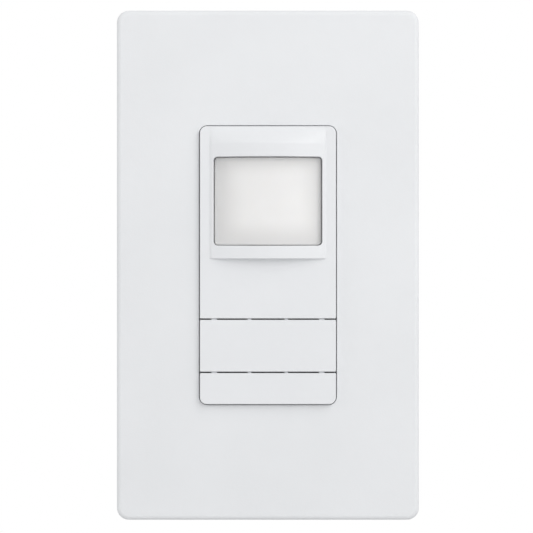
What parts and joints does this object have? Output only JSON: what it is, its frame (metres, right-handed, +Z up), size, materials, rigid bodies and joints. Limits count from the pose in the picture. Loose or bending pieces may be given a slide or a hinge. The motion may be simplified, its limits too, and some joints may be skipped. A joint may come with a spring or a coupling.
{
  "type": "occupancy sensor switch",
  "caption": "Wall switch with a bowed occupancy sensor lens above push bars, a screwless wall plate, a steel mounting strap and a rear housing with side screw terminals.",
  "frame": {"origin": "centre of the two box-screw positions, on the wall surface that the back of the mounting strap lies against", "axes": "+X to the right seen from the room, +Y into the wall, +Z up; the face looks along -Y"},
  "size_m": [0.0726, 0.046, 0.1224],
  "materials": {
    "plate_plastic": "satin moulded white, fine even grain",
    "sub_plate_plastic": "plain moulded white",
    "insert_plastic": "smooth satin white",
    "lens_plastic": "frosted translucent polyethylene",
    "frame_plastic": "plain moulded",
    "housing_plastic": "black heat-resistant moulding",
    "strap_steel": "zinc-plated stamping",
    "screw_steel": "zinc-plated",
    "spring_steel": "bright wire",
    "washer_fibre": "pressed fibre",
    "ground_green": "green dyed plating",
    "terminal_brass": "bright stamped brass",
    "switch_black": "moulded",
    "plunger_plastic": "moulded",
    "board_laminate": "solder mask on glass laminate",
    "can_metal": "nickel-plated can",
    "filter_dark": "dark filter",
    "lamp_clear": "milky lamp",
    "sensor_dark": "moulded package",
    "connector_black": "moulded connector",
    "insulator_film": "insulating sheet",
    "relay_case": "sealed case",
    "film_case": "moulded case",
    "coil_wrap": "taped winding",
    "capacitor_sleeve": "shrunk sleeve",
    "varistor_coat": "dipped coating",
    "fuse_body": "ceramic tube"
  },
  "bodies": {
    "root": {"wall_plate": "plate_plastic", "sub_plate": "sub_plate_plastic", "bezel": "insert_plastic", "lens": "lens_plastic", "lens_retainer": "frame_plastic", "rear_housing": "housing_plastic", "mounting_strap": "strap_steel", "box_screws": "screw_steel", "plate_screws": "screw_steel", "case_screws": "screw_steel", "on_off_springs": "spring_steel", "lower_springs": "spring_steel", "screw_retainers": "washer_fibre", "ground_screw": "ground_green", "line_terminal": "terminal_brass", "load_terminal": "terminal_brass", "neutral_terminal": "terminal_brass", "terminal_screws": "terminal_brass", "on_off_switch": "switch_black", "lower_switch": "switch_black", "sensor_board": "board_laminate", "power_board": "board_laminate", "pyro_sensor": "can_metal", "pyro_window": "filter_dark", "status_led": "lamp_clear", "light_sensor": "sensor_dark", "controller_chip": "sensor_dark", "board_header": "connector_black", "board_socket": "connector_black", "insulator_sheet": "insulator_film", "relay": "relay_case", "film_capacitor": "film_case", "transformer": "coil_wrap", "bulk_capacitor": "capacitor_sleeve", "surge_varistor": "varistor_coat", "fuse": "fuse_body"},
    "on_off_bar": {"on_off_button": "insert_plastic", "on_off_plunger": "plunger_plastic"},
    "lower_bar": {"lower_button": "insert_plastic", "lower_plunger": "plunger_plastic"}
  },
  "joints": [
    {"name": "on_off_press", "type": "slide", "parent": "root", "child": "on_off_bar", "axis": [0, 1, 0], "range_m": [0, 0.001], "stiffness_N_per_m": 600, "springref_m": -0.0015, "deforming": ["on_off_springs"]},
    {"name": "lower_press", "type": "slide", "parent": "root", "child": "lower_bar", "axis": [0, 1, 0], "range_m": [0, 0.001], "stiffness_N_per_m": 600, "springref_m": -0.0015, "deforming": ["lower_springs"]}
  ]
}
